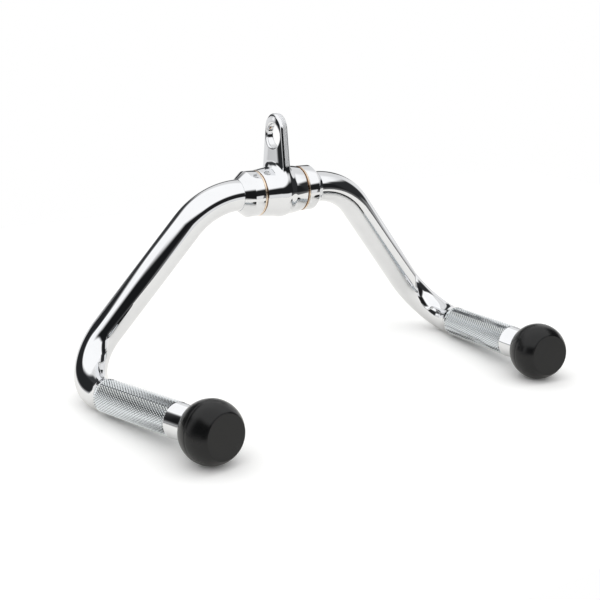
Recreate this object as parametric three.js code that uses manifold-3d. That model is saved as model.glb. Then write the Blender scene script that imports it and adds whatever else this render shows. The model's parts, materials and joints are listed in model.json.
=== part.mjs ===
// Cable handle: a bent steel bar with two knurled grips, rubber ball ends and a revolving hanger.
// Millimetres and degrees. +Z is up and the handle stands on its elbows and ball ends, as on a table.
// +X runs along the middle of the bar and the grips point towards -Y.

import * as THREE from 'three';
import { mergeVertices } from 'three/addons/utils/BufferGeometryUtils.js';
import Module from 'manifold-3d';

const wasm = await Module();
wasm.setup();

// Driving dimensions of the bar
const bar_diameter = 28;
const shoulder_bend_radius = 64.5;
const shoulder_bend_angle = 50;
const arm_straight = 113.5;
const elbow_bend_radius = 41.5;
const grip_toe_in_angle = 9.8;
const grip_rise_angle = 13;
const grip_straight = 143;
const bar_end_chamfer = 1.5;

// Driving dimensions of the knurled band on each grip
const knurl_length = 97;
const knurl_height = 0.5;
const knurl_edge = 0.3;
const bare_bar_by_ball = 20;

// Driving dimensions of the revolving hanger
const barrel_length = 42.8;
const barrel_end_wall = 3.2;
const barrel_crown = 2;
const lug_thickness = 9.5;
const lug_edge_radius = 4.25;
const lug_top_radius = 14.2;
const lug_top_height = 69.4;
const lug_foot_inset = 1.5;
const lug_fillet = 5;
const lug_fillet_fade = 10;
const eye_diameter = 21;
const eye_below_top = 19.8;
const eye_rim = 2;

// Driving dimensions of the bronze bushes and the collars
const bush_wall = 2.7;
const flange_thickness = 1.8;
const flange_height = 3.5;
const bush_length = 17;
const collar_wall = 6.2;
const collar_length = 17.6;
const collar_chamfer = 7.8;
const collar_nose_wall = 0.4;

// Driving dimensions of the rubber ball ends
const ball_diameter = 49.5;
const ball_face_diameter = 35;
const ball_face_edge = 0.6;
const ball_lip = 1.2;
const ball_lip_slope = 0.3;
const ball_cap_wall = 8.5;

// Clearance, the overrun of a cut, how far a blend's thin edge sinks in, and what counts as one point
const clearance = 0.3;
const overrun = 1;
const sink = 0.1;
const same_point = 0.0001;

// Fineness of the facets
const round_sides = 28;
const turned_sides = 40;
const bend_step_angle = 7.5;
const fillet_steps = 5;
const edge_steps = 4;
const crown_steps = 8;

const steel = { color: 0xd4d6d8, roughness: 0.08, metalness: 1 };
const bronze = { color: 0xb08d57, roughness: 0.35, metalness: 1 };
const rubber = { color: 0x26282a, roughness: 0.6, metalness: 0 };

// Sizes that follow from the driving ones
const bar_radius = bar_diameter / 2;
const barrel_half = barrel_length / 2;
const flange_start = barrel_half + clearance;
const flange_end = flange_start + flange_thickness;
const collar_start = flange_end + clearance;
const collar_end = collar_start + collar_length;
const bore_radius = bar_radius + clearance;
const bush_radius = bore_radius + bush_wall;
const flange_radius = bush_radius + flange_height;
const barrel_bore_radius = bush_radius + clearance;
const barrel_end_radius = barrel_bore_radius + barrel_end_wall;
const barrel_middle_radius = barrel_end_radius + barrel_crown;
const ball_radius = ball_diameter / 2;
const eye_radius = eye_diameter / 2;
const lug_half = lug_thickness / 2;
const lug_top_centre = lug_top_height - lug_top_radius;
const lug_foot_radius = barrel_middle_radius - lug_foot_inset;
const eye_height = lug_top_height - eye_below_top;

const sine = (degrees) => Math.sin(THREE.MathUtils.degToRad(degrees));
const cosine = (degrees) => Math.cos(THREE.MathUtils.degToRad(degrees));
const leg = (slant, other) => Math.sqrt(Math.max(slant * slant - other * other, 0));

// Solids: a closed mesh becomes a solid that can be joined and cut, and goes back to a mesh.
function solid(geometry) {
  const bare = geometry.index ? geometry.toNonIndexed() : geometry.clone();
  bare.deleteAttribute('normal');
  bare.deleteAttribute('uv');
  const merged = mergeVertices(bare, same_point);
  return new wasm.Manifold(new wasm.Mesh({
    numProp: 3,
    vertProperties: new Float32Array(merged.attributes.position.array),
    triVerts: new Uint32Array(merged.index.array),
  }));
}

function geometry_of(body) {
  const mesh = body.getMesh();
  const geometry = new THREE.BufferGeometry();
  geometry.setAttribute('position', new THREE.BufferAttribute(mesh.vertProperties, 3));
  geometry.setIndex(new THREE.BufferAttribute(mesh.triVerts, 1));
  geometry.computeVertexNormals();
  return geometry;
}

// A turned shape: the profile's points are [radius, place along the axis], and the axis is +X.
function turned(profile, sides = turned_sides) {
  const points = profile.map(([radius, along]) => new THREE.Vector2(radius, along));
  const lathe = new THREE.LatheGeometry(points, sides);
  return lathe.rotateZ(-Math.PI / 2);
}

// A closed skin over a row of closed sections that all have the same number of points.
function loft(sections) {
  const count = sections[0].length;
  const places = sections.flat().flatMap((point) => point.toArray());
  const faces = [];
  for (let row = 0; row < sections.length - 1; row++) {
    for (let k = 0; k < count; k++) {
      const a = row * count + k;
      const b = row * count + (k + 1) % count;
      faces.push(a, b, b + count, a, b + count, a + count);
    }
  }
  const last = (sections.length - 1) * count;
  for (let k = 1; k < count - 1; k++) {
    faces.push(0, k + 1, k);
    faces.push(last, last + k, last + k + 1);
  }
  const geometry = new THREE.BufferGeometry();
  geometry.setAttribute('position', new THREE.Float32BufferAttribute(places, 3));
  geometry.setIndex(faces);
  return geometry;
}

// The bar's centreline as stations: straights keep two of them and bends one every few degrees.
class Centreline extends THREE.Curve {
  constructor(stations) {
    super();
    this.stations = stations;
  }

  station(share) {
    return this.stations[Math.round(share * (this.stations.length - 1))];
  }

  getPoint(share, target = new THREE.Vector3()) {
    return target.copy(this.station(share).place);
  }

  getPointAt(share, target = new THREE.Vector3()) {
    return this.getPoint(share, target);
  }

  getTangent(share, target = new THREE.Vector3()) {
    return target.copy(this.station(share).along);
  }

  getTangentAt(share, target = new THREE.Vector3()) {
    return this.getTangent(share, target);
  }
}

// One bend: it starts at a place, turns from one direction to another, and lists its stations.
function bend(start, from, to, radius) {
  const turn = Math.acos(from.dot(to));
  const inward = to.clone().addScaledVector(from, -from.dot(to)).normalize();
  const centre = start.clone().addScaledVector(inward, radius);
  const steps = Math.ceil(THREE.MathUtils.radToDeg(turn) / bend_step_angle);
  const stations = [];
  for (let step = 1; step <= steps; step++) {
    const angle = turn * step / steps;
    const place = centre.clone();
    place.addScaledVector(inward, -radius * Math.cos(angle));
    place.addScaledVector(from, radius * Math.sin(angle));
    const along = from.clone().multiplyScalar(Math.cos(angle));
    along.addScaledVector(inward, Math.sin(angle));
    stations.push({ place, along });
  }
  return { stations, centre, inward, from };
}

const middle_along = new THREE.Vector3(1, 0, 0);
const arm_along = new THREE.Vector3(cosine(shoulder_bend_angle), 0, -sine(shoulder_bend_angle));
const grip_along = new THREE.Vector3(
  -sine(grip_toe_in_angle) * cosine(grip_rise_angle),
  -cosine(grip_toe_in_angle) * cosine(grip_rise_angle),
  sine(grip_rise_angle),
);

// The right half of the centreline, from the middle of the bar to the ball's centre.
const shoulder_start = middle_along.clone().multiplyScalar(collar_end);
const shoulder = bend(shoulder_start, middle_along, arm_along, shoulder_bend_radius);
const arm_start = shoulder.stations.at(-1).place;
const arm_end = arm_start.clone().addScaledVector(arm_along, arm_straight);
const elbow = bend(arm_end, arm_along, grip_along, elbow_bend_radius);
const grip_start = elbow.stations.at(-1).place;
const ball_centre = grip_start.clone().addScaledVector(grip_along, grip_straight);

// Places along the grip, measured from the ball's centre: minus is back towards the elbow.
const ball_face = leg(ball_radius, ball_face_diameter / 2);
const ball_back = -leg(ball_radius, bore_radius + ball_lip);
const ball_bore_end = ball_face - ball_cap_wall;
const bar_end = ball_bore_end - clearance;
const knurl_end = ball_back - bare_bar_by_ball;
const knurl_start = knurl_end - knurl_length;

// How far the arms lean when the elbows and the ball ends stand on one floor.
function stands_on(lean) {
  const up = new THREE.Vector3(0, Math.sin(lean), Math.cos(lean));
  const reach = Math.hypot(elbow.inward.dot(up), elbow.from.dot(up));
  const elbow_low = elbow.centre.dot(up) - elbow_bend_radius * reach - bar_radius;
  const ball_low = ball_centre.dot(up) - ball_radius;
  return { elbow_low, ball_low };
}

function standing_lean() {
  let low = -Math.PI / 4;
  let high = Math.PI / 4;
  const gap = (lean) => stands_on(lean).elbow_low - stands_on(lean).ball_low;
  const rising = gap(high) > gap(low);
  for (let turn = 0; turn < 50; turn++) {
    const middle = (low + high) / 2;
    if ((gap(middle) > 0) === rising) high = middle;
    else low = middle;
  }
  return (low + high) / 2;
}

// The bent bar, swept in one piece from ball end to ball end, with its two knurled bands.
function round_section(radius) {
  const section = new THREE.Shape();
  for (let k = 0; k < round_sides; k++) {
    const angle = 2 * Math.PI * k / round_sides;
    const point = [radius * Math.cos(angle), radius * Math.sin(angle)];
    if (k === 0) section.moveTo(...point);
    else section.lineTo(...point);
  }
  return section;
}

function mirrored(vector) {
  return new THREE.Vector3(-vector.x, vector.y, vector.z);
}

// Turns a shape made along +X so that it lies along a grip, with its zero at the ball's centre.
function on_grip(geometry, side) {
  const along = side > 0 ? grip_along : mirrored(grip_along);
  const centre = side > 0 ? ball_centre : mirrored(ball_centre);
  const across = new THREE.Vector3(0, 0, 1).cross(along).normalize();
  const over = along.clone().cross(across);
  const place = new THREE.Matrix4().makeBasis(along, across, over).setPosition(centre);
  return geometry.applyMatrix4(place);
}

function bent_bar() {
  const cut_end = ball_centre.clone().addScaledVector(grip_along, bar_end - bar_end_chamfer);
  const half = [...shoulder.stations];
  half.push({ place: arm_end, along: arm_along });
  half.push(...elbow.stations);
  half.push({ place: cut_end, along: grip_along });
  half.unshift({ place: shoulder_start, along: middle_along });
  const other = half.map(({ place, along }) => ({
    place: mirrored(place),
    along: mirrored(along).negate(),
  }));
  const centreline = new Centreline([...other.reverse(), ...half]);
  const swept = new THREE.ExtrudeGeometry(round_section(bar_radius), {
    steps: centreline.stations.length - 1,
    extrudePath: centreline,
  });
  let bar = solid(swept);
  for (const side of [-1, 1]) {
    const tip_start = bar_end - bar_end_chamfer;
    const tip = turned([
      [0, tip_start - overrun],
      [bar_radius - knurl_edge, tip_start - overrun],
      [bar_radius - knurl_edge, tip_start],
      [bar_radius - bar_end_chamfer, bar_end],
      [0, bar_end],
    ], round_sides);
    const knurl_radius = bar_radius + knurl_height;
    const band = turned([
      [0, knurl_start],
      [knurl_radius - knurl_edge, knurl_start],
      [knurl_radius, knurl_start + knurl_edge],
      [knurl_radius, knurl_end - knurl_edge],
      [knurl_radius - knurl_edge, knurl_end],
      [0, knurl_end],
    ], round_sides);
    bar = bar.add(solid(on_grip(tip, side))).add(solid(on_grip(band, side)));
  }
  return geometry_of(bar);
}

// Rubber ball end: a ball with a flat front face and a blind bore over the end of the bar.
function ball_end(side) {
  const profile = [[0, ball_face]];
  profile.push([ball_face_diameter / 2 - ball_face_edge, ball_face]);
  const face_angle = Math.acos((ball_face - ball_face_edge) / ball_radius);
  const back_angle = Math.acos(ball_back / ball_radius);
  const steps = Math.ceil(THREE.MathUtils.radToDeg(back_angle - face_angle) / (2 * bend_step_angle));
  for (let step = 0; step <= steps; step++) {
    const angle = face_angle + (back_angle - face_angle) * step / steps;
    profile.push([ball_radius * Math.sin(angle), ball_radius * Math.cos(angle)]);
  }
  profile.push([bore_radius, ball_back - ball_lip_slope]);
  profile.push([bore_radius, ball_bore_end]);
  profile.push([0, ball_bore_end]);
  return on_grip(turned(profile.reverse()), side);
}

// Fixed collar: a turned ring with a long chamfer on its outer end.
function collar(side) {
  const radius = bore_radius + collar_wall;
  const nose = bore_radius + collar_nose_wall;
  const profile = [
    [bore_radius, collar_start],
    [radius, collar_start],
    [radius, collar_end - collar_chamfer],
    [nose, collar_end],
    [bore_radius, collar_end],
    [bore_radius, collar_start],
  ];
  return placed_on_side(profile, side);
}

// Flanged bronze bush: its flange is the thin ring between the hanger and the collar.
function flange_bush(side) {
  const profile = [
    [bore_radius, flange_end - bush_length],
    [bush_radius, flange_end - bush_length],
    [bush_radius, flange_start],
    [flange_radius, flange_start],
    [flange_radius, flange_end],
    [bore_radius, flange_end],
    [bore_radius, flange_end - bush_length],
  ];
  return placed_on_side(profile, side);
}

function placed_on_side(profile, side) {
  const ring = turned(profile);
  return side > 0 ? ring : ring.rotateZ(Math.PI);
}

// Revolving hanger: a crowned barrel and an eye lug with full round edges, blended into one casting.
function crown_radius(along) {
  const share = along / barrel_half;
  return barrel_end_radius + barrel_crown * (1 - share * share);
}

function barrel() {
  const profile = [[0, -barrel_half]];
  for (let step = 0; step <= crown_steps; step++) {
    const along = barrel_half * (2 * step / crown_steps - 1);
    profile.push([crown_radius(along), along]);
  }
  profile.push([0, barrel_half]);
  return turned(profile);
}

// The lug's side lines are tangent to its round top and to a circle about the barrel's axis.
const lug_side_angle = Math.asin((lug_foot_radius - lug_top_radius) / lug_top_centre);

function lug_outline(inset) {
  const top = lug_top_radius - inset;
  const foot = lug_foot_radius - inset;
  const side = new THREE.Vector2(Math.cos(lug_side_angle), Math.sin(lug_side_angle));
  const outline = new THREE.Shape();
  outline.moveTo(foot * side.x, foot * side.y);
  outline.lineTo(top * side.x, lug_top_centre + top * side.y);
  outline.absarc(0, lug_top_centre, top, lug_side_angle, Math.PI - lug_side_angle, false);
  outline.lineTo(-foot * side.x, foot * side.y);
  outline.closePath();
  return outline;
}

function lug_plate() {
  const plate = new THREE.ExtrudeGeometry(lug_outline(lug_edge_radius), {
    depth: lug_thickness - 2 * lug_edge_radius,
    bevelEnabled: true,
    bevelThickness: lug_edge_radius,
    bevelSize: lug_edge_radius,
    bevelSegments: edge_steps,
    curveSegments: turned_sides / 2,
  });
  plate.translate(0, 0, lug_edge_radius - lug_half);
  const across = new THREE.Vector3(0, 1, 0);
  const up = new THREE.Vector3(0, 0, 1);
  return plate.applyMatrix4(new THREE.Matrix4().makeBasis(across, up, across.clone().cross(up)));
}

// How far inside the lug's side line a point lies, at an angle from the upright and so far out.
function inside_lug(angle, out) {
  return lug_foot_radius - out * Math.sin(Math.abs(angle) + lug_side_angle);
}

// Half the lug's thickness there: it drops to almost nothing as the round edge runs out.
function lug_half_at(angle, out) {
  const round = Math.min(Math.max(lug_edge_radius - inside_lug(angle, out), 0), lug_edge_radius);
  return lug_half - lug_edge_radius + leg(lug_edge_radius, round);
}

// The fillet at the lug's foot: it follows the barrel, and fades out where the lug's edge meets it.
function lug_fillet_strip(side) {
  const edge_angle = Math.asin(lug_foot_radius / barrel_middle_radius) - lug_side_angle;
  const steps = 2 * Math.ceil(THREE.MathUtils.radToDeg(edge_angle) / bend_step_angle);
  const sections = [];
  for (let step = 0; step <= steps; step++) {
    const angle = edge_angle * (2 * step / steps - 1);
    const fade = Math.min(inside_lug(angle, barrel_middle_radius) / lug_fillet_fade, 1);
    const size = Math.max(lug_fillet * Math.sin(fade * Math.PI / 2), sink);
    const foot = crown_radius(lug_half_at(angle, barrel_middle_radius));
    const points = [];
    for (let k = 0; k <= fillet_steps; k++) {
      const turn = k / fillet_steps * Math.PI / 2;
      const above = size * (1 - Math.cos(turn));
      const along = lug_half_at(angle, foot + above) + size * (1 - Math.sin(turn));
      points.push([along, crown_radius(along) + above]);
    }
    const [start, end] = [points[0], points.at(-1)];
    start[1] -= sink;
    end[0] -= sink;
    points.push([0, end[1]]);
    points.push([0, foot - overrun]);
    points.push([start[0], foot - overrun]);
    sections.push(points.map(([along, out]) => new THREE.Vector3(
      side * along,
      out * Math.sin(angle),
      out * Math.cos(angle),
    )));
  }
  return loft(side > 0 ? sections.reverse() : sections);
}

// The cutter for the eye: a straight hole with a rounded rim at both faces.
function eye_cutter() {
  const profile = [[0, -lug_half - overrun]];
  for (const end of [-1, 1]) {
    const rim = [[eye_radius + eye_rim, end * (lug_half + overrun)]];
    for (let k = 0; k <= edge_steps; k++) {
      const turn = k / edge_steps * Math.PI / 2;
      const radius = eye_radius + eye_rim * (1 - Math.sin(turn));
      rim.push([radius, end * (lug_half + sink - eye_rim * (1 - Math.cos(turn)))]);
    }
    profile.push(...(end < 0 ? rim : rim.reverse()));
  }
  profile.push([0, lug_half + overrun]);
  return turned(profile).translate(0, 0, eye_height);
}

function swivel_hanger() {
  let casting = solid(barrel()).add(solid(lug_plate()));
  for (const side of [-1, 1]) {
    casting = casting.add(solid(lug_fillet_strip(side)));
  }
  const bore = turned([
    [0, -barrel_half - overrun],
    [barrel_bore_radius, -barrel_half - overrun],
    [barrel_bore_radius, barrel_half + overrun],
    [0, barrel_half + overrun],
  ]);
  return geometry_of(casting.subtract(solid(bore)).subtract(solid(eye_cutter())));
}

// The assembly: the handle leans as it stands on the floor, and the hanger's lug points straight up.
function piece(name, geometry, finish) {
  const mesh = new THREE.Mesh(geometry, new THREE.MeshStandardMaterial(finish));
  mesh.name = name;
  return mesh;
}

const lean = standing_lean();
const handle = new THREE.Group();
handle.rotation.x = lean;
handle.add(piece('bar', bent_bar(), steel));
handle.add(piece('left_collar', collar(-1), steel));
handle.add(piece('right_collar', collar(1), steel));
handle.add(piece('left_ball_end', ball_end(-1), rubber));
handle.add(piece('right_ball_end', ball_end(1), rubber));

const hanger = new THREE.Group();
hanger.add(piece('swivel_hanger', swivel_hanger(), steel));
hanger.add(piece('left_flange_bush', flange_bush(-1), bronze));
hanger.add(piece('right_flange_bush', flange_bush(1), bronze));

// The origin is the middle of the handle's outline on the floor.
const cable_handle = new THREE.Group();
cable_handle.add(handle, hanger);
cable_handle.updateMatrixWorld(true);
const outline = new THREE.Box3().setFromObject(cable_handle, true);
const middle = outline.getCenter(new THREE.Vector3());
cable_handle.position.set(-middle.x, -middle.y, -outline.min.z);

export default cable_handle;
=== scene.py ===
"""Cable handle, dressed for its picture: a bent bar in bright chrome with two knurled grips,
rubber ball ends, and an eye hanger that turns between two collars on thin bronze flanges.

Sizes are in millimetres and are turned to metres where a mesh is made. +Z is up, +X runs along
the middle of the bar and the grips point towards -Y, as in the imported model. The studio round
the handle is set out in metres.
"""

import json
import math

import bpy
import numpy as np
from mathutils import Matrix, Vector


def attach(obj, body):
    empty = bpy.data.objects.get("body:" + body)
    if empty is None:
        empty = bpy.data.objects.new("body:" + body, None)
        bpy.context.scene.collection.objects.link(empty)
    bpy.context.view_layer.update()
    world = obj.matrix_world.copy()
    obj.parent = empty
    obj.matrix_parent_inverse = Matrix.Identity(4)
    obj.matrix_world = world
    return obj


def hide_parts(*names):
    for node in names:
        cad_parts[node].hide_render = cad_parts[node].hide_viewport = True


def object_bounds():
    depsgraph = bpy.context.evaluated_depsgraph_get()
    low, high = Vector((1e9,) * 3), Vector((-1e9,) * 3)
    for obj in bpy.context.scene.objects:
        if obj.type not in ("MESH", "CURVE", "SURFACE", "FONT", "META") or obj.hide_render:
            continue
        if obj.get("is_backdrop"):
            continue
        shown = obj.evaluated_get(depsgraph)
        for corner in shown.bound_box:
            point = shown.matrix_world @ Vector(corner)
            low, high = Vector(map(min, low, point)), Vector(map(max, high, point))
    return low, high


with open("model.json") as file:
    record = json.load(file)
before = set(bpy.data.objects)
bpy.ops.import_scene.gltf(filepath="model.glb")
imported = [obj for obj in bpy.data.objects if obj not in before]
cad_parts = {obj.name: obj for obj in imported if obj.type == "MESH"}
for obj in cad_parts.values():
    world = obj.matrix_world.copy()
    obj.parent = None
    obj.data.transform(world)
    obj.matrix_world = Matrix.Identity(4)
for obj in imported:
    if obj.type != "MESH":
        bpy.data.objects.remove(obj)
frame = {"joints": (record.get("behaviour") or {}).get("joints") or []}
cad_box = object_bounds()

MM = 0.001

# The bar. Places along a grip are measured from its ball's centre, outwards.
BAR_RADIUS = 13.96
MIDDLE_HALF = 41.4
SHOULDER_RADIUS = 64.5
SHOULDER_ANGLE = 50.0
ARM_LENGTH = 113.5
ELBOW_RADIUS = 41.5
TOE_IN = 9.8
GRIP_RISE = 13.0
GRIP_LENGTH = 143.0
LEAN = 8.8744
BAR_END = 8.702
BAR_END_CHAMFER = 1.5
BEND_STEP = 1.5
COLUMNS = 84
ROUNDING_STEPS = 4

# The knurl: diamonds cut by two crossing rows of grooves, 30 degrees off the bar, between two plain
# rims that start with a short slope. They are coarser and deeper than real ones, which would be too
# fine to show. Root, top and rim are radii. A diamond's flat top is given as a share of its half
# width and half length.
KNURL_START = -136.295
KNURL_END = -39.295
KNURL_ROOT = 13.4
KNURL_TOP = 14.5
KNURL_RIM = 14.34
KNURL_SLOPE = 0.3
KNURL_RIM_WIDTH = 0.9
DIAMOND_LENGTH = 3.8
DIAMOND_FLAT = 0.14

# The revolving hanger
BARREL_HALF = 21.4
BARREL_END = 20.5
BARREL_CROWN = 2.0
BARREL_BORE = 17.3
BARREL_EDGE = 0.9
LUG_HALF = 4.75
LUG_EDGE = 2.5
LUG_TOP_RADIUS = 14.2
LUG_TOP_CENTRE = 55.2
LUG_FOOT_RADIUS = 21.0
LUG_BLEND = 6.0
LUG_FALL = 0.009
LUG_FALL_WIDTH = 9.0
EYE_RADIUS = 10.5
EYE_HEIGHT = 49.6
EYE_RIM = 2.2

# The hanger's skin: its grid, how finely slopes are taken, and how its points are evened out
SKIN_STEP = 0.6
SLOPE_REACH = 0.01
LEAST_SLOPE = 0.05
EVENING_TIMES = 4
EVENING_SHARE = 0.6
FIRST_SETTLING = 4
LATER_SETTLING = 2

# The bronze flanges and the collars
BUSH_BORE = 14.3
BUSH_RADIUS = 17.0
BUSH_START = 6.5
BUSH_EDGE = 0.2
BUSH_LEAD_IN = 0.4
FLANGE_START = 21.5
FLANGE_END = 23.7
FLANGE_RADIUS = 20.5
FLANGE_EDGE = 0.35
COLLAR_START = 23.8
COLLAR_END = 41.4
COLLAR_RADIUS = 20.5
COLLAR_BORE = 14.02
COLLAR_CHAMFER = 7.8
COLLAR_NOSE = 14.35
COLLAR_BORE_EDGE = 0.2
COLLAR_EDGE = 0.35
COLLAR_CHAMFER_EDGE = 0.3
COLLAR_NOSE_EDGE = 0.1

# The rubber ball ends: a flat disc with a broken edge stands in a narrow crease, and a thin parting
# line runs round the ball's middle
BALL_RADIUS = 24.71
BALL_FACE = 17.4
BALL_FACE_RADIUS = 17.5
BALL_BACK = -19.295
BALL_BORE = 14.3
BALL_BORE_END = 9.002
BALL_STEPS = 72
BALL_SIDES = 128
DISC_EDGE_WIDTH = 0.25
DISC_EDGE_DEPTH = 0.12
CREASE_START = 0.05
CREASE_DEPTH = 0.45
CREASE_END = 0.4
LIP_WIDTH = 0.5
LIP_HEIGHT = 0.3
PARTING_WIDTH = 0.45
PARTING_DEPTH = 0.3

# The handle's shapes are made round the hanger's axis, and lean back with the bar or stay upright
HANGER_AXIS = Vector(frame["joints"][0]["pos_m"])
UPRIGHT = Matrix.Translation(HANGER_AXIS)
STANDING = UPRIGHT @ Matrix.Rotation(math.radians(LEAN), 4, "X")


def srgb(code):
    """An sRGB hex colour as linear red, green, blue and alpha."""
    parts = [int(code[k : k + 2], 16) / 255 for k in (1, 3, 5)]
    return [c / 12.92 if c <= 0.04045 else ((c + 0.055) / 1.055) ** 2.4 for c in parts] + [1]


# Meshes


def add_object(name, data):
    thing = bpy.data.objects.new(name, data)
    bpy.context.scene.collection.objects.link(thing)
    return thing


def make_piece(
    name, points, faces, place, body, node, finishes, flat=(), second=(), normals=None
):
    """One piece of the object, which rides on its body and stands for its CAD node.

    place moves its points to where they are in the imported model. flat lists the faces that aren't
    shaded smooth, and second the faces that have the second finish.
    """
    mesh = bpy.data.meshes.new(name)
    mesh.from_pydata([place @ (Vector(p) * MM) for p in points], [], faces)
    for finish in finishes:
        mesh.materials.append(finish)
    mesh.shade_smooth()
    for k in flat:
        mesh.polygons[k].use_smooth = False
    for k in second:
        mesh.polygons[k].material_index = 1
    mesh.validate()
    if normals is not None:
        turn = place.to_3x3()
        turned_normals = [(turn @ Vector(n)).normalized() for n in normals]
        mesh.normals_split_custom_set_from_vertices(turned_normals)
    piece = add_object(name, mesh)
    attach(piece, body)
    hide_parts(node)
    return piece


def rounded(corners):
    """A closed profile with rounded corners, each given as (radius, place along, rounding or 0)."""
    points = []
    places = np.array([corner[:2] for corner in corners], float)
    for k, corner in enumerate(places):
        radius = corners[k][2]
        if radius == 0:
            points.append(tuple(corner))
            continue
        back = places[k - 1] - corner
        ahead = places[(k + 1) % len(places)] - corner
        back /= np.linalg.norm(back)
        ahead /= np.linalg.norm(ahead)
        half = math.acos(np.clip(back @ ahead, -1, 1)) / 2
        reach = radius / math.tan(half)
        middle = corner + (back + ahead) / np.linalg.norm(back + ahead) * radius / math.sin(half)
        first = corner + back * reach - middle
        last = corner + ahead * reach - middle
        turn = math.atan2(first[0] * last[1] - first[1] * last[0], first @ last)
        for step in range(ROUNDING_STEPS + 1):
            angle = turn * step / ROUNDING_STEPS
            c, s = math.cos(angle), math.sin(angle)
            x = middle[0] + c * first[0] - s * first[1]
            y = middle[1] + s * first[0] + c * first[1]
            points.append((x, y))
    return points


def turned(profile, sides=COLUMNS):
    """A ring turned about +X, from a closed profile of (radius, place along)."""
    points = []
    for radius, along in profile:
        for k in range(sides):
            angle = 2 * math.pi * k / sides
            points.append((along, radius * math.cos(angle), radius * math.sin(angle)))
    faces = []
    rows = len(profile)
    for row in range(rows):
        a, b = row * sides, (row + 1) % rows * sides
        for k in range(sides):
            n = (k + 1) % sides
            faces.append((a + k, a + n, b + n, b + k))
    return points, faces


def mirrored_side(points, faces, side):
    """The shape as made for the right side, or its mirror image for the left one."""
    if side > 0:
        return points, faces
    return [(-x, y, z) for x, y, z in points], [tuple(reversed(face)) for face in faces]


def side_name(side):
    return "right" if side > 0 else "left"


# The bar's centreline, from the middle to the right ball end


def unit(x, y, z):
    return np.array((x, y, z), float) / math.sqrt(x * x + y * y + z * z)


def bend(start, from_, to, radius):
    """The stations of a bend, as (place, direction), without its first."""
    turn = math.acos(from_ @ to)
    inward = to - from_ * (from_ @ to)
    inward /= np.linalg.norm(inward)
    steps = math.ceil(math.degrees(turn) / BEND_STEP)
    stations = []
    for step in range(1, steps + 1):
        angle = turn * step / steps
        c, s = math.cos(angle), math.sin(angle)
        stations.append((start + radius * (inward * (1 - c) + from_ * s), from_ * c + inward * s))
    return stations


def sine(degrees):
    return math.sin(math.radians(degrees))


def cosine(degrees):
    return math.cos(math.radians(degrees))


middle_along = unit(1, 0, 0)
arm_along = unit(cosine(SHOULDER_ANGLE), 0, -sine(SHOULDER_ANGLE))
grip_along = unit(
    -sine(TOE_IN) * cosine(GRIP_RISE),
    -cosine(TOE_IN) * cosine(GRIP_RISE),
    sine(GRIP_RISE),
)
shoulder = bend(middle_along * MIDDLE_HALF, middle_along, arm_along, SHOULDER_RADIUS)
arm_end = shoulder[-1][0] + arm_along * ARM_LENGTH
elbow = bend(arm_end, arm_along, grip_along, ELBOW_RADIUS)
ball_centre = elbow[-1][0] + grip_along * GRIP_LENGTH


def on_grip(points, side):
    """Places points made along +X on a grip, with zero at the ball's centre."""
    flip = np.array((side, 1, 1))
    along, centre = grip_along * flip, ball_centre * flip
    across = np.cross((0, 0, 1), along)
    across /= np.linalg.norm(across)
    over = np.cross(along, across)
    return [tuple(centre + along * x + across * y + over * z) for x, y, z in points]


# The bent bar: rings of points along the centreline, with a band of cut diamonds on each grip


def bar_rings():
    """The right half's rings as (place, direction, radius), and which one ends the diamonds."""
    stations = [(np.zeros(3), middle_along), (middle_along * MIDDLE_HALF, middle_along)]
    stations += shoulder + [(arm_end, arm_along)] + elbow
    rings = [(place, along, BAR_RADIUS) for place, along in stations]
    first_rim = [
        (KNURL_START, BAR_RADIUS),
        (KNURL_START + KNURL_SLOPE, KNURL_RIM),
        (KNURL_START + KNURL_RIM_WIDTH, KNURL_RIM),
    ]
    last_rim = [
        (KNURL_END - KNURL_RIM_WIDTH, KNURL_RIM),
        (KNURL_END - KNURL_SLOPE, KNURL_RIM),
        (KNURL_END, BAR_RADIUS),
    ]
    end = [(BAR_END - BAR_END_CHAMFER, BAR_RADIUS), (BAR_END, BAR_RADIUS - BAR_END_CHAMFER)]
    past_diamonds = len(rings) + len(first_rim)
    for along, radius in first_rim + last_rim + end:
        rings.append((ball_centre + grip_along * along, grip_along, radius))
    return rings, past_diamonds


def spokes(rings):
    """For each ring, two directions across the bar that don't twist along it."""
    across = np.array((0.0, 1.0, 0.0))
    pairs = []
    for _, along, _ in rings:
        across = across - along * (across @ along)
        across /= np.linalg.norm(across)
        pairs.append((across, np.cross(along, across)))
    return pairs


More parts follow.
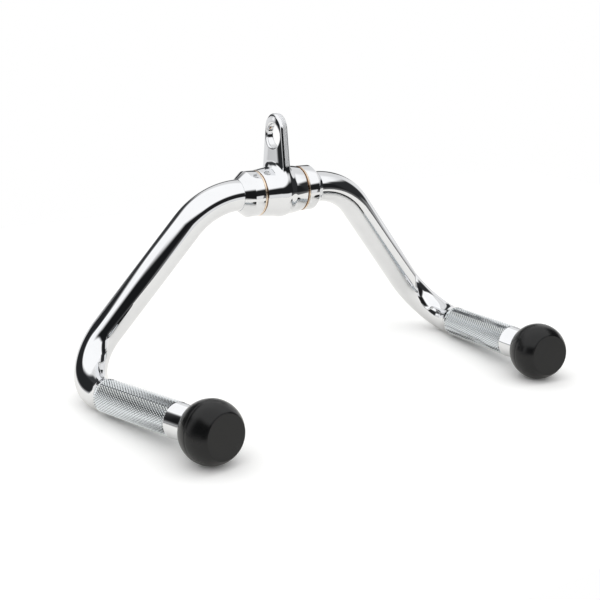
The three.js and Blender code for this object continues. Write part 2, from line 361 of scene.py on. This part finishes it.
def knurl_band(low_ring, high_ring, at, first_free):
    """Cut diamonds between two rings of points: at(column, along, radius) places a point."""
    start, end = KNURL_START + KNURL_RIM_WIDTH, KNURL_END - KNURL_RIM_WIDTH
    rows = 2 * round((end - start) / DIAMOND_LENGTH)
    points, faces = [], []
    # The points at the diamonds' feet, by column and row. The first and last rows lie on the rims.
    low = {}

    def new_point(column, row, radius):
        points.append(at(column, start + (end - start) * row / rows, radius))
        return first_free + len(points) - 1

    for k in range(COLUMNS):
        low[k, 0], low[k, rows] = low_ring[k], high_ring[k]
    for row in range(1, rows):
        for column in range(row % 2, COLUMNS, 2):
            low[column, row] = new_point(column, row, KNURL_ROOT)
    for row in range(rows + 1):
        for column in range((row + 1) % 2, COLUMNS, 2):
            left, right = (column - 1) % COLUMNS, (column + 1) % COLUMNS
            if row == 0:
                faces.append((low[left, 0], low[column, 0], low[column, 1]))
                faces.append((low[column, 0], low[right, 0], low[column, 1]))
                continue
            if row == rows:
                faces.append((low[left, rows], low[column, rows - 1], low[column, rows]))
                faces.append((low[column, rows], low[column, rows - 1], low[right, rows]))
                continue
            foot = [low[left, row], low[column, row - 1], low[right, row], low[column, row + 1]]
            top = [
                new_point(column - DIAMOND_FLAT, row, KNURL_TOP),
                new_point(column, row - DIAMOND_FLAT, KNURL_TOP),
                new_point(column + DIAMOND_FLAT, row, KNURL_TOP),
                new_point(column, row + DIAMOND_FLAT, KNURL_TOP),
            ]
            faces.append(tuple(top))
            for k in range(4):
                n = (k + 1) % 4
                faces.append((foot[k], foot[n], top[n], top[k]))
    return points, faces


def bent_bar(plain, knurled):
    """The whole bar in one mesh: its right half and the mirror image of it."""
    rings, past_diamonds = bar_rings()
    pairs = spokes(rings)
    points, faces, diamonds = [], [], []
    for side in (1, -1):
        flip = np.array((side, 1, 1))
        base = len(points)
        for (place, along, radius), (across, over) in zip(rings, pairs):
            for k in range(COLUMNS):
                angle = 2 * math.pi * k / COLUMNS
                spoke = math.cos(angle) * across + math.sin(angle) * over
                points.append((place + radius * spoke) * flip)
        own = []
        for row in range(len(rings) - 1):
            if row == past_diamonds - 1:
                continue
            a, b = base + row * COLUMNS, base + (row + 1) * COLUMNS
            for k in range(COLUMNS):
                n = (k + 1) % COLUMNS
                own.append((a + k, a + n, b + n, b + k))
        last_ring = base + (len(rings) - 1) * COLUMNS
        own.append(tuple(range(last_ring, last_ring + COLUMNS)))
        across, over = pairs[past_diamonds]

        def at(column, along, radius):
            angle = 2 * math.pi * column / COLUMNS
            spoke = math.cos(angle) * across + math.sin(angle) * over
            return (ball_centre + grip_along * along + radius * spoke) * flip

        high_ring = [base + past_diamonds * COLUMNS + k for k in range(COLUMNS)]
        low_ring = [k - COLUMNS for k in high_ring]
        cut_points, cut_faces = knurl_band(low_ring, high_ring, at, len(points))
        points += cut_points
        first = len(faces) + len(own)
        diamonds += range(first, first + len(cut_faces))
        own += cut_faces
        faces += own if side > 0 else [tuple(reversed(face)) for face in own]
    # The two halves share the ring in the middle of the bar.
    half = len(points) // 2
    number = [*range(half), *range(COLUMNS), *range(half, 2 * half - COLUMNS)]
    faces = [tuple(number[k] for k in face) for face in faces]
    del points[half : half + COLUMNS]
    return make_piece(
        "bent_bar",
        points,
        faces,
        STANDING,
        "handle",
        "bar",
        [plain, knurled],
        flat=diamonds,
        second=diamonds,
    )


# The hanger: its skin lies where the distance to the shape below is zero


def round_join(a, b, radius):
    """Two shapes as one, with a fillet of that radius between them."""
    u, v = np.maximum(radius - a, 0), np.maximum(radius - b, 0)
    return np.maximum(radius, np.minimum(a, b)) - np.hypot(u, v)


def round_cut(a, b, radius):
    """What two shapes have in common, with its edge rounded to that radius."""
    u, v = np.maximum(radius + a, 0), np.maximum(radius + b, 0)
    return np.minimum(-radius, np.maximum(a, b)) + np.hypot(u, v)


def to_barrel(x, y, z):
    """A barrel that swells towards its middle, with rounded ends."""
    crown = BARREL_END + BARREL_CROWN * (1 - (x / BARREL_HALF) ** 2)
    return round_cut(np.hypot(y, z) - crown, np.abs(x) - BARREL_HALF, BARREL_EDGE)


def to_lug(x, y, z):
    """A plate that is round at the top and wider at the foot. Its edges are rounded, and its faces
    fall off a little towards them."""
    top, foot = LUG_TOP_RADIUS - LUG_EDGE, LUG_FOOT_RADIUS - LUG_EDGE
    tilt = (foot - top) / LUG_TOP_CENTRE
    lean = math.sqrt(1 - tilt * tilt)
    across = np.abs(y)
    along = lean * z - tilt * across
    side = lean * across + tilt * z - foot
    below = np.hypot(across, z) - foot
    above = np.hypot(across, z - LUG_TOP_CENTRE) - top
    outline = np.where(along < 0, below, np.where(along > lean * LUG_TOP_CENTRE, above, side))
    fall = LUG_FALL * np.maximum(LUG_FALL_WIDTH + outline, 0) ** 2
    thick = np.abs(x) - (LUG_HALF - LUG_EDGE) + fall
    outside = np.hypot(np.maximum(outline, 0), np.maximum(thick, 0))
    return np.minimum(np.maximum(outline, thick), 0) + outside - LUG_EDGE


def to_hanger(points):
    """The barrel and the lug in one, with the eye and the bore cut out."""
    x, y, z = points[..., 0], points[..., 1], points[..., 2]
    body = round_join(to_barrel(x, y, z), to_lug(x, y, z), LUG_BLEND)
    body = round_cut(body, EYE_RADIUS - np.hypot(y, z - EYE_HEIGHT), EYE_RIM)
    return round_cut(body, BARREL_BORE - np.hypot(y, z), BARREL_EDGE / 2)


def slope(shape, points):
    """Which way the distance grows, and how fast."""
    out = np.empty_like(points)
    for axis in range(3):
        step = np.zeros(3)
        step[axis] = SLOPE_REACH
        out[:, axis] = (shape(points + step) - shape(points - step)) / (2 * SLOPE_REACH)
    return out


def settle(shape, points, times):
    """Moves points onto the skin."""
    for _ in range(times):
        away = slope(shape, points)
        size = np.maximum((away * away).sum(1), LEAST_SLOPE)
        points = points - away * (shape(points) / size)[:, None]
    return points


def skin_of(shape, low, high, step):
    """A closed skin of four-sided faces: one point in each small cube that the surface crosses."""
    axes = [np.arange(low[k], high[k] + step, step) for k in range(3)]
    grid = np.stack(np.meshgrid(*axes, indexing="ij"), -1)
    inside = shape(grid) < 0
    size = [n - 1 for n in inside.shape]
    filled = np.zeros(size, int)
    for corner in np.ndindex(2, 2, 2):
        filled += inside[tuple(slice(c, c + n) for c, n in zip(corner, size))]
    mixed = (filled > 0) & (filled < 8)
    number = np.full(size, -1)
    number[mixed] = np.arange(mixed.sum())
    points = np.argwhere(mixed) * step + np.array(low) + step / 2
    faces = []
    for axis in range(3):
        ahead = np.roll(inside, -1, axis)
        for leaving in (True, False):
            edges = np.argwhere((inside & ~ahead) if leaving else (~inside & ahead))
            b, c = (axis + 1) % 3, (axis + 2) % 3
            cells = []
            for back_b, back_c in ((1, 1), (0, 1), (0, 0), (1, 0)):
                cell = edges.copy()
                cell[:, b] -= back_b
                cell[:, c] -= back_c
                cells.append(number[tuple(cell.T)])
            faces.append(np.stack(cells if leaving else cells[::-1], 1))
    return points, np.concatenate(faces)


def evened(shape, points, faces):
    """Evens out the skin's points and keeps them on it."""
    edges = np.concatenate([np.stack([faces[:, k], faces[:, (k + 1) % 4]], 1) for k in range(4)])
    start, end = edges.T
    count = np.bincount(start, minlength=len(points))[:, None]
    for _ in range(EVENING_TIMES):
        total = np.zeros_like(points)
        np.add.at(total, start, points[end])
        moved = points * (1 - EVENING_SHARE) + total / count * EVENING_SHARE
        points = settle(shape, moved, LATER_SETTLING)
    return points


def eye_hanger(finish):
    room = 2 * SKIN_STEP
    reach = BARREL_END + BARREL_CROWN + room
    low = (-BARREL_HALF - room, -reach, -reach)
    high = (BARREL_HALF + room, reach, LUG_TOP_CENTRE + LUG_TOP_RADIUS + room)
    points, faces = skin_of(to_hanger, low, high, SKIN_STEP)
    points = evened(to_hanger, settle(to_hanger, points, FIRST_SETTLING), faces)
    return make_piece(
        "eye_hanger",
        points.tolist(),
        faces.tolist(),
        UPRIGHT,
        "hanger",
        "swivel_hanger",
        [finish],
        normals=slope(to_hanger, points).tolist(),
    )


# Collars, flanged bushes and ball ends


def collar(side, finish):
    profile = rounded(
        [
            (COLLAR_BORE, COLLAR_START, COLLAR_BORE_EDGE),
            (COLLAR_RADIUS, COLLAR_START, COLLAR_EDGE),
            (COLLAR_RADIUS, COLLAR_END - COLLAR_CHAMFER, COLLAR_CHAMFER_EDGE),
            (COLLAR_NOSE, COLLAR_END, COLLAR_NOSE_EDGE),
            (COLLAR_BORE, COLLAR_END, 0),
        ]
    )
    points, faces = mirrored_side(*turned(profile), side)
    name = side_name(side)
    return make_piece(
        f"{name}_fixed_collar",
        points,
        faces,
        STANDING,
        "handle",
        f"{name}_collar",
        [finish],
    )


def flanged_bush(side, finish):
    profile = rounded(
        [
            (BUSH_BORE, BUSH_START, BUSH_EDGE),
            (BUSH_RADIUS, BUSH_START, BUSH_LEAD_IN),
            (BUSH_RADIUS, FLANGE_START, BUSH_EDGE),
            (FLANGE_RADIUS, FLANGE_START, FLANGE_EDGE),
            (FLANGE_RADIUS, FLANGE_END, FLANGE_EDGE),
            (BUSH_BORE, FLANGE_END, BUSH_EDGE),
        ]
    )
    points, faces = mirrored_side(*turned(profile), side)
    name = side_name(side)
    return make_piece(
        f"{name}_bronze_bush",
        points,
        faces,
        UPRIGHT,
        "hanger",
        f"{name}_flange_bush",
        [finish],
    )


def ball_profile():
    """From the flat disc over the ball to its lip, and back through the bore over the bar's end."""
    disc = [
        (BALL_FACE_RADIUS - DISC_EDGE_WIDTH, BALL_FACE),
        (BALL_FACE_RADIUS, BALL_FACE - DISC_EDGE_DEPTH),
    ]
    crease = [(BALL_FACE_RADIUS + CREASE_START, BALL_FACE - CREASE_DEPTH)]
    first = math.asin((BALL_FACE_RADIUS + CREASE_END) / BALL_RADIUS)
    last = math.acos(BALL_BACK / BALL_RADIUS)
    parting = math.pi / 2
    skin = []
    for angle in sorted({*np.linspace(first, last, BALL_STEPS), parting}):
        off = abs(angle - parting) * BALL_RADIUS
        if 0 < off < PARTING_WIDTH:
            continue
        radius = BALL_RADIUS - (PARTING_DEPTH if off == 0 else 0)
        skin.append((radius * math.sin(angle), radius * math.cos(angle)))
    lip = [(BALL_BORE + LIP_WIDTH, BALL_BACK - LIP_HEIGHT), (BALL_BORE, BALL_BACK)]
    return disc + crease + skin + lip + [(BALL_BORE, BALL_BORE_END)]


def ball_end(side, finish):
    points, faces = turned(ball_profile()[::-1], BALL_SIDES)
    # The bore's bottom and the flat disc close the ring instead of its last strip.
    faces = faces[:-BALL_SIDES]
    faces.append(tuple(reversed(range(BALL_SIDES))))
    faces.append(tuple(range(len(points) - BALL_SIDES, len(points))))
    if side < 0:
        points = [(x, -y, z) for x, y, z in points]
        faces = [tuple(reversed(face)) for face in faces]
    name = side_name(side)
    return make_piece(
        f"{name}_rubber_ball",
        on_grip(points, side),
        faces,
        STANDING,
        "handle",
        f"{name}_ball_end",
        [finish],
        flat=(len(faces) - 2, len(faces) - 1),
    )


# Finishes. Patches, grains and fades are in millimetres.

CHROME_HAZE = 14.0
CHROME_HAZE_LOW = 0.35
CHROME_WAVE = 5.0
STEEL_WAVINESS = 0.004
CASTING_WAVINESS = 0.012
KNURL_GRAIN = 0.8
GROUND_HALF_WIDTH = 1.7
GROUND_EDGE_FADE = 0.6
GROUND_FOOT_FADE = 3.0
GROUND_RIM_FADE = 0.8
GROUND_GRIT = 1.2
BRONZE_DULLING = 6.0
BRONZE_RINGS = 4.0
BRONZE_RING_DEPTH = 0.02
BROWN_BAND_WIDTH = 0.7
BROWN_BAND_FADE = 0.4
RUBBER_CLOUD = 18.0
RUBBER_GRAIN = 0.5
RUBBER_GRAIN_DEPTH = 0.05

# Between these two values lies most of a noise
NOISE_LOW = 0.3
NOISE_HIGH = 0.7

# A Mix node's inputs and output, for two numbers and for two colours
NUMBER_A = 2
NUMBER_B = 3
MIXED_NUMBER = 0
COLOUR_A = 6
COLOUR_B = 7
MIXED_COLOUR = 2


def set_up(tree, node, settings):
    """Sets a node's properties and inputs. An input given an output is joined to it."""
    for key, value in settings.items():
        if isinstance(value, bpy.types.NodeSocket):
            tree.links.new(node.inputs[key], value)
        elif isinstance(key, int) or key in node.inputs:
            node.inputs[key].default_value = value
        else:
            setattr(node, key, value)
    return node


def add(tree, kind, settings=()):
    """Adds a node and sets it up."""
    return set_up(tree, tree.nodes.new(kind), dict(settings))


def new_finish(name, metallic):
    """A new finish with its node tree, its shader and the place on the object."""
    finish = bpy.data.materials.new(name)
    finish.use_nodes = True
    tree = finish.node_tree
    shader = set_up(tree, tree.nodes["Principled BSDF"], {"Metallic": metallic})
    return finish, tree, shader, add(tree, "ShaderNodeTexCoord").outputs["Object"]


def mottled(tree, noise, tones, roughness, low=NOISE_LOW):
    """A colour and a roughness that a noise shifts a little."""
    tone = add(
        tree,
        "ShaderNodeMix",
        {
            "data_type": "RGBA",
            COLOUR_A: srgb(tones[0]),
            COLOUR_B: srgb(tones[1]),
            "Factor": noise.outputs["Fac"],
        },
    )
    rough = add(
        tree,
        "ShaderNodeMapRange",
        {
            "Value": noise.outputs["Fac"],
            "From Min": low,
            "From Max": NOISE_HIGH,
            "To Min": roughness[0],
            "To Max": roughness[1],
        },
    )
    return tone.outputs[MIXED_COLOUR], rough.outputs["Result"]


def bright_chrome(name, waviness):
    """Bright nickel-chrome plate: a clear mirror with a faint polishing haze and a slight wave."""
    finish, tree, shader, place = new_finish(name, 1)
    haze = add(
        tree,
        "ShaderNodeTexNoise",
        {"Vector": place, "Scale": 1 / (CHROME_HAZE * MM), "Detail": 3},
    )
    tone, rough = mottled(tree, haze, ("#e9eaec", "#e1e2e4"), (0.01, 0.04), CHROME_HAZE_LOW)
    wave = add(
        tree,
        "ShaderNodeTexNoise",
        {"Vector": place, "Scale": 1 / (CHROME_WAVE * MM), "Detail": 1},
    )
    bump = add(
        tree,
        "ShaderNodeBump",
        {"Height": wave.outputs["Fac"], "Strength": 1, "Distance": waviness * MM},
    )
    normal = bump.outputs["Normal"]
    set_up(tree, shader, {"Base Color": tone, "Roughness": rough, "Normal": normal})
    return finish


def chromed_casting():
    """A polished casting under chrome. Its lug's edge is only ground, and stays satin."""
    finish = bright_chrome("polished_chromed_casting", CASTING_WAVINESS)
    tree = finish.node_tree
    shader = tree.nodes["Principled BSDF"]
    polished = shader.inputs["Roughness"].links[0].from_socket
    place = add(tree, "ShaderNodeTexCoord").outputs["Object"]

    # The ground edge lies near the hanger's middle plane, above the barrel and outside the eye.
    parts = add(tree, "ShaderNodeSeparateXYZ", {"Vector": place})
    aside = add(tree, "ShaderNodeMath", {"operation": "ABSOLUTE", 0: parts.outputs["X"]})
    eye = (0, HANGER_AXIS.y, HANGER_AXIS.z + EYE_HEIGHT * MM)
    away = add(tree, "ShaderNodeVectorMath", {"operation": "DISTANCE", 0: place, 1: eye})
    foot = HANGER_AXIS.z + (BARREL_END + BARREL_CROWN) * MM
    rim = (EYE_RADIUS + EYE_RIM) * MM
    ground = 1
    for value, start, fade, first, last in (
        (aside.outputs[0], GROUND_HALF_WIDTH * MM, GROUND_EDGE_FADE * MM, 1, 0),
        (parts.outputs["Z"], foot, GROUND_FOOT_FADE * MM, 0, 1),
        (away.outputs["Value"], rim, GROUND_RIM_FADE * MM, 0, 1),
    ):
        share = add(
            tree,
            "ShaderNodeMapRange",
            {
                "Value": value,
                "From Min": start,
                "From Max": start + fade,
                "To Min": first,
                "To Max": last,
            },
        )
        both = add(
            tree,
            "ShaderNodeMath",
            {"operation": "MULTIPLY", 0: ground, 1: share.outputs["Result"]},
        )
        ground = both.outputs[0]

    grit = add(
        tree,
        "ShaderNodeTexNoise",
        {"Vector": place, "Scale": 1 / (GROUND_GRIT * MM), "Detail": 3},
    )
    satin = add(
        tree,
        "ShaderNodeMapRange",
        {
            "Value": grit.outputs["Fac"],
            "From Min": NOISE_LOW,
            "From Max": NOISE_HIGH,
            "To Min": 0.5,
            "To Max": 0.8,
        },
    )
    rough = add(
        tree,
        "ShaderNodeMix",
        {"Factor": ground, NUMBER_A: polished, NUMBER_B: satin.outputs["Result"]},
    )
    set_up(tree, shader, {"Roughness": rough.outputs[MIXED_NUMBER]})
    return finish


def knurled_chrome():
    """The same plate over cut diamonds, whose softened edges blur each facet's mirror."""
    finish, tree, shader, place = new_finish("knurled_chrome", 1)
    grain = add(
        tree,
        "ShaderNodeTexNoise",
        {"Vector": place, "Scale": 1 / (KNURL_GRAIN * MM), "Detail": 2},
    )
    tone, rough = mottled(tree, grain, ("#e0e3e5", "#d2d6d8"), (0.03, 0.07))
    set_up(tree, shader, {"Base Color": tone, "Roughness": rough})
    return finish


def turned_bronze():
    """Bearing bronze as turned: pale, with fine tool rings, and brown in a thin band at the
    flange's edge next to the hanger.
    """
    finish, tree, shader, place = new_finish("turned_bearing_bronze", 1)
    dull = add(
        tree,
        "ShaderNodeTexNoise",
        {"Vector": place, "Scale": 1 / (BRONZE_DULLING * MM), "Detail": 4},
    )
    pale, rough = mottled(tree, dull, ("#f4e6d4", "#e2cbb0"), (0.2, 0.35))
    parts = add(tree, "ShaderNodeSeparateXYZ", {"Vector": place})
    aside = add(tree, "ShaderNodeMath", {"operation": "ABSOLUTE", 0: parts.outputs["X"]})
    # The flange's edge next to the hanger is brown over a thin band, which fades into the pale
    # bronze.
    brown_band_end = FLANGE_START + BROWN_BAND_WIDTH
    beyond_brown_band = add(
        tree,
        "ShaderNodeMapRange",
        {
            "Value": aside.outputs[0],
            "From Min": brown_band_end * MM,
            "From Max": (brown_band_end + BROWN_BAND_FADE) * MM,
        },
    )
    tone = add(
        tree,
        "ShaderNodeMix",
        {
            "data_type": "RGBA",
            COLOUR_A: srgb("#84603f"),
            COLOUR_B: pale,
            "Factor": beyond_brown_band.outputs["Result"],
        },
    )
    rings = add(
        tree,
        "ShaderNodeTexWave",
        {
            "bands_direction": "X",
            "Vector": place,
            "Scale": 1 / (BRONZE_RINGS * MM),
            "Distortion": 0.4,
        },
    )
    bump = add(
        tree,
        "ShaderNodeBump",
        {"Height": rings.outputs["Fac"], "Strength": 0.4, "Distance": BRONZE_RING_DEPTH * MM},
    )
    set_up(
        tree,
        shader,
        {
            "Base Color": tone.outputs[MIXED_COLOUR],
            "Roughness": rough,
            "Normal": bump.outputs["Normal"],
        },
    )
    return finish


def moulded_rubber():
    """Black rubber from a fine-blasted mould: satin, uneven in gloss, with a fine grain."""
    finish, tree, shader, place = new_finish("moulded_black_rubber", 0)
    cloud = add(
        tree,
        "ShaderNodeTexNoise",
        {"Vector": place, "Scale": 1 / (RUBBER_CLOUD * MM), "Detail": 4},
    )
    tone, rough = mottled(tree, cloud, ("#0c0c0d", "#131415"), (0.22, 0.28))
    grain = add(
        tree,
        "ShaderNodeTexNoise",
        {"Vector": place, "Scale": 1 / (RUBBER_GRAIN * MM), "Detail": 3},
    )
    bump = add(
        tree,
        "ShaderNodeBump",
        {"Height": grain.outputs["Fac"], "Strength": 0.5, "Distance": RUBBER_GRAIN_DEPTH * MM},
    )
    set_up(
        tree,
        shader,
        {
            "IOR": 1.5,
            "Specular IOR Level": 0.36,
            "Base Color": tone,
            "Roughness": rough,
            "Normal": bump.outputs["Normal"],
        },
    )
    return finish


# The studio, in metres and degrees. Cards are placed from the handle's middle, and their edges fade
# over a few times their softness, inwards and outwards.

HANDLE_MIDDLE = Vector((0, 0, 0.1))
WHITE = "#ffffff"
COOL = "#e4e8ee"
CARD_FADE = 3

# The room's light above and below the table, which change over at a low slope
ROOM_LEVEL = 1.2
BELOW_LEVEL = 0.15
HORIZON_START = -0.06
HORIZON_END = 0.02

# The table's corners, and its colour for the light on the handle, in the chrome and for the camera
TABLE_LOW = (-0.55, -0.35)
TABLE_HIGH = (1.0, 0.8)
TABLE_LIT = "#f8f7f5"
TABLE_MIRRORED = (0.93, 0.92, 0.89, 1)
TABLE_SEEN = (1.07, 1.07, 1.063, 1)


def grey(level):
    return level, level, level, 1


def studio():
    """A white room, dim below the table's height. The camera itself sees plain white."""
    world = bpy.data.worlds.new("studio")
    bpy.context.scene.world = world
    world.use_nodes = True
    tree = world.node_tree
    way = add(tree, "ShaderNodeTexCoord").outputs["Generated"]
    parts = add(tree, "ShaderNodeSeparateXYZ", {"Vector": way})
    above = add(
        tree,
        "ShaderNodeMapRange",
        {"Value": parts.outputs["Z"], "From Min": HORIZON_START, "From Max": HORIZON_END},
    )
    room = add(
        tree,
        "ShaderNodeMix",
        {
            "data_type": "RGBA",
            COLOUR_A: grey(BELOW_LEVEL),
            COLOUR_B: grey(ROOM_LEVEL),
            "Factor": above.outputs["Result"],
        },
    )
    path = add(tree, "ShaderNodeLightPath")
    seen = add(
        tree,
        "ShaderNodeMix",
        {
            "data_type": "RGBA",
            COLOUR_A: room.outputs[MIXED_COLOUR],
            COLOUR_B: grey(1),
            "Factor": path.outputs["Is Camera Ray"],
        },
    )
    set_up(tree, tree.nodes["Background"], {"Color": seen.outputs[MIXED_COLOUR]})


def stage_finish(name):
    """A material for the studio, with nothing in it yet."""
    finish = bpy.data.materials.new(name)
    finish.use_nodes = True
    finish.node_tree.nodes.clear()
    return finish, finish.node_tree


def flat_panel(name, low, high, finish):
    """A flat rectangle, from its low corner to its high one."""
    (x0, y0), (x1, y1) = low, high
    mesh = bpy.data.meshes.new(name)
    corners = [(x0, y0, 0), (x1, y0, 0), (x1, y1, 0), (x0, y1, 0)]
    mesh.from_pydata(corners, [], [(0, 1, 2, 3)])
    mesh.materials.append(finish)
    return add_object(name, mesh)


def towards(azimuth, elevation):
    """A direction from the handle: azimuth 0 is the front (-Y) and 90 the right (+X)."""
    return Vector(
        (
            sine(azimuth) * cosine(elevation),
            -cosine(azimuth) * cosine(elevation),
            sine(elevation),
        )
    )


def facing(place, ahead, right):
    """Where a camera or a card stands: -Z points ahead and +X to the right."""
    turn = Matrix((right, right.cross(ahead), -ahead)).transposed().to_4x4()
    return Matrix.Translation(place) @ turn


def card(
    name, azimuth, elevation, distance, turn, tip, half_width, half_height, soft, tint, level
):
    """A card with soft edges, for the chrome to mirror."""
    finish, tree = stage_finish(name)
    place = add(tree, "ShaderNodeTexCoord").outputs["Object"]
    parts = add(tree, "ShaderNodeSeparateXYZ", {"Vector": place})
    fade = CARD_FADE * soft
    shares = []
    for axis, half in (("X", half_width), ("Y", half_height)):
        aside = add(tree, "ShaderNodeMath", {"operation": "ABSOLUTE", 0: parts.outputs[axis]})
        share = add(
            tree,
            "ShaderNodeMapRange",
            {
                "interpolation_type": "SMOOTHSTEP",
                "Value": aside.outputs[0],
                "From Min": half - fade,
                "From Max": half + fade,
                "To Min": 1,
                "To Max": 0,
            },
        )
        shares.append(share.outputs["Result"])
    within = add(tree, "ShaderNodeMath", {"operation": "MULTIPLY", 0: shares[0], 1: shares[1]})
    shade = [c * level for c in srgb(tint)[:3]] + [1]
    glow = add(tree, "ShaderNodeEmission", {"Color": shade, "Strength": 1})
    clear = add(tree, "ShaderNodeBsdfTransparent")
    mixed = add(
        tree,
        "ShaderNodeMixShader",
        {"Fac": within.outputs[0], 1: clear.outputs[0], 2: glow.outputs[0]},
    )
    add(tree, "ShaderNodeOutputMaterial", {"Surface": mixed.outputs[0]})
    wide, high = half_width + fade, half_height + fade
    panel = flat_panel(name, (-wide, -high), (wide, high), finish)
    ahead = towards(azimuth + turn, elevation + tip)
    right = Vector((cosine(azimuth + turn), sine(azimuth + turn), 0))
    middle = HANDLE_MIDDLE + towards(azimuth, elevation) * distance
    panel.matrix_world = facing(middle, ahead, right)
    panel.visible_camera = False
    panel.visible_diffuse = False
    panel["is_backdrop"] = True


def cards():
    """The pale walls and dark gaps round the table.

    Each row holds the card's name, where its middle is (azimuth, elevation, distance), how far it
    turns and tips from facing the handle, its half width, half height and softness, and its tint
    and level.
    """
    for row in (
        ("pale_backdrop", 166, 20, 1.25, -13, 0, 1.84, 0.75, 0.04, WHITE, 0.88),
        ("pale_right_wall", 108, 24, 1.15, 1, -1, 0.7, 0.46, 0.08, WHITE, 0.92),
        ("pale_right_back", 136, 46, 0.85, -1, 2, 0.45, 0.2, 0.04, WHITE, 0.86),
        ("pale_front", 18, -8, 0.48, -18, 8, 0.24, 0.075, 0.006, WHITE, 0.9),
        ("pale_left_back", -142, -3, 1.0, 0, 3, 0.2, 0.14, 0.03, WHITE, 0.72),
        ("dark_back", 165, 20, 1.1, -10, 0, 0.9, 0.17, 0.02, COOL, 0.04),
        ("dark_left_front", -38, 9, 0.62, -14, 3, 0.3, 0.2, 0.02, COOL, 0.015),
        ("dark_right_front", 25, 12, 0.69, 4, 0, 0.65, 0.19, 0.02, COOL, 0.02),
        ("dark_right", 75, 18, 0.57, 4, 0, 0.22, 0.16, 0.015, COOL, 0.04),
        ("dark_left_back", -125, 9, 0.5, -4, -4, 0.18, 0.15, 0.01, COOL, 0.03),
        ("grey_back", -156, 27, 0.79, -3, 1, 0.24, 0.17, 0.03, COOL, 0.06),
        ("dark_left", -59, 8, 0.43, -31, -8, 0.19, 0.14, 0.02, COOL, 0.015),
    ):
        card(*row)


def floor():
    """A matt white table. The camera sees it as plain white, but for the shadows."""
    finish, tree = stage_finish("matt_white_table")
    path = add(tree, "ShaderNodeLightPath")
    mirrored = add(
        tree,
        "ShaderNodeMix",
        {
            "data_type": "RGBA",
            COLOUR_A: srgb(TABLE_LIT),
            COLOUR_B: TABLE_MIRRORED,
            "Factor": path.outputs["Is Glossy Ray"],
        },
    )
    seen = add(
        tree,
        "ShaderNodeMix",
        {
            "data_type": "RGBA",
            COLOUR_A: mirrored.outputs[MIXED_COLOUR],
            COLOUR_B: TABLE_SEEN,
            "Factor": path.outputs["Is Camera Ray"],
        },
    )
    paper = add(tree, "ShaderNodeBsdfDiffuse", {"Color": seen.outputs[MIXED_COLOUR]})
    add(tree, "ShaderNodeOutputMaterial", {"Surface": paper.outputs[0]})
    table = flat_panel("white_table", TABLE_LOW, TABLE_HIGH, finish)
    table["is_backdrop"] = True


# The photograph's view: from the left front, a little above

FOCAL_LENGTH = 63.82
SENSOR_WIDTH = 36
SIGHT_LENGTH = 50
CAMERA_PLACE = Vector((-0.5108, -0.7236, 0.3284))
CAMERA_AHEAD = Vector((0.53373, 0.80023, -0.27343))
CAMERA_RIGHT = Vector((0.8323, -0.5543, 0.0))


def camera():
    """Stands level, with its right side square to the way it looks."""
    lens = bpy.data.cameras.new("camera")
    lens.lens = FOCAL_LENGTH
    lens.sensor_width = SENSOR_WIDTH
    lens.clip_end = SIGHT_LENGTH
    ahead, right = CAMERA_AHEAD.normalized(), CAMERA_RIGHT.normalized()
    right = (right - ahead * right.dot(ahead)).normalized()
    eye = add_object("camera", lens)
    eye.matrix_world = facing(CAMERA_PLACE, ahead, right)
    bpy.context.scene.camera = eye


camera()
studio()
cards()
floor()
bpy.context.scene.view_settings.view_transform = "Standard"

bar_chrome = bright_chrome("bright_chromed_steel", STEEL_WAVINESS)
bent_bar(bar_chrome, knurled_chrome())
eye_hanger(chromed_casting())
bronze = turned_bronze()
rubber = moulded_rubber()
for side in (-1, 1):
    collar(side, bar_chrome)
    flanged_bush(side, bronze)
    ball_end(side, rubber)

bpy.context.view_layer.update()
boxes = {"cad": cad_box, "visual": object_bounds()}
{name: [list(corner) for corner in box] for name, box in boxes.items()}
